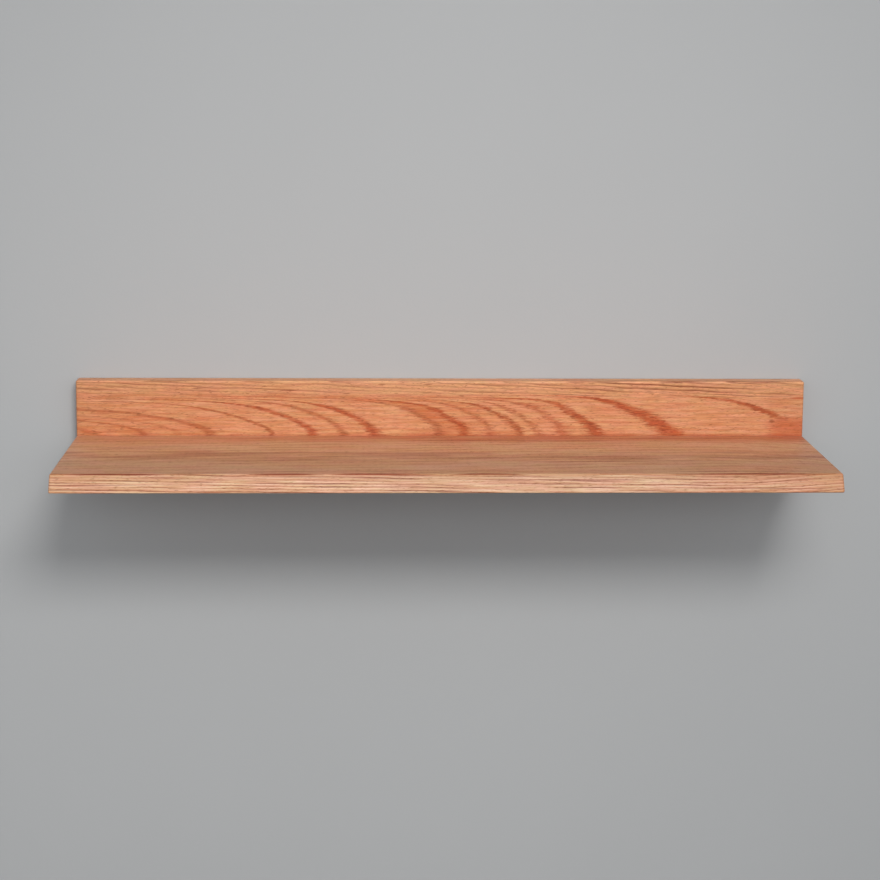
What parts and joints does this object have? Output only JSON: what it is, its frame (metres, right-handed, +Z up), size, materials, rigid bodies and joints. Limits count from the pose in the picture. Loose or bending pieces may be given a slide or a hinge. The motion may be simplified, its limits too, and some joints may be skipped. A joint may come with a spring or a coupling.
{
  "type": "wall shelf",
  "caption": "Wall shelf of solid oak: a flat shelf board with a slanted front edge and a low back board, hung on keyhole plates let into the back.",
  "frame": {"origin": "centre of the back board's rear face, the face that lies on the wall, at half the shelf's length and half its height", "axes": "+X along the boards, to the right as seen from the room; +Y into the wall; +Z up"},
  "size_m": [0.8, 0.1993, 0.079],
  "materials": {
    "oak_back_board": "satin oiled red oak, plain-sawn",
    "oak_shelf_board": "satin oiled red oak, straight grain",
    "beech_dowel": "raw fluted beech",
    "zinc_plate": "bright zinc plated sheet steel",
    "zinc_screw": "bright zinc plated steel"
  },
  "bodies": {
    "root": {"back_board": "oak_back_board", "shelf_board": "oak_shelf_board", "dowel_1": "beech_dowel", "dowel_2": "beech_dowel", "dowel_3": "beech_dowel", "dowel_4": "beech_dowel", "dowel_5": "beech_dowel", "dowel_6": "beech_dowel", "dowel_7": "beech_dowel", "dowel_8": "beech_dowel", "joint_screw_1": "zinc_screw", "joint_screw_2": "zinc_screw", "joint_screw_3": "zinc_screw", "joint_screw_4": "zinc_screw", "keyhole_plate_left": "zinc_plate", "keyhole_plate_right": "zinc_plate", "plate_screw_left_lower": "zinc_screw", "plate_screw_left_upper": "zinc_screw", "plate_screw_right_lower": "zinc_screw", "plate_screw_right_upper": "zinc_screw"}
  },
  "joints": []
}
